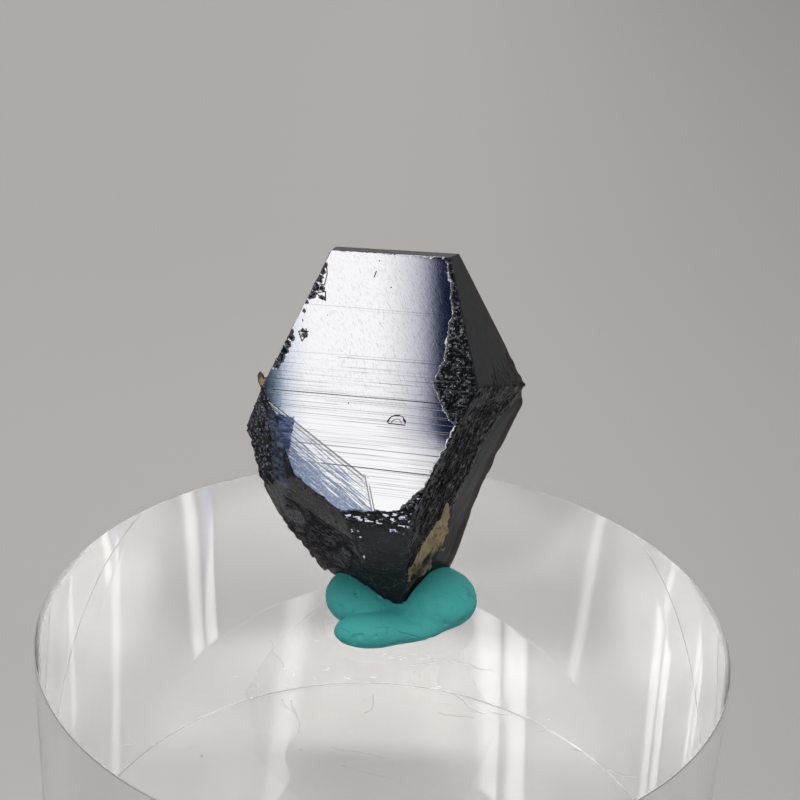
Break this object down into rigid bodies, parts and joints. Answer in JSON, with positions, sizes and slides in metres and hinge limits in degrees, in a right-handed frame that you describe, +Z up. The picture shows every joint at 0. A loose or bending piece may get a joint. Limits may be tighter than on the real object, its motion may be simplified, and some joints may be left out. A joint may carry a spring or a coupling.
{
  "type": "anatase specimen",
  "caption": "Black anatase crystal with a bright striated face, broken at its foot, held by green tack on a clear round acrylic block.",
  "frame": {"origin": "centre of the block's underside", "axes": "+Z up along the block's axis; -Y is the side that the bright face looks towards; +X to the right seen from there"},
  "size_m": [0.05, 0.05, 0.0763],
  "materials": {
    "anatase": "adamantine, striated",
    "tan_rock": "dull, grainy",
    "honey_blade": "glassy",
    "green_tack": "soft matte",
    "clear_acrylic": "clear, polished"
  },
  "bodies": {
    "root": {"anatase_crystal": "anatase", "matrix_remnant": "tan_rock", "side_blade": "honey_blade", "mineral_tack": "green_tack", "acrylic_block": "clear_acrylic"}
  },
  "joints": []
}
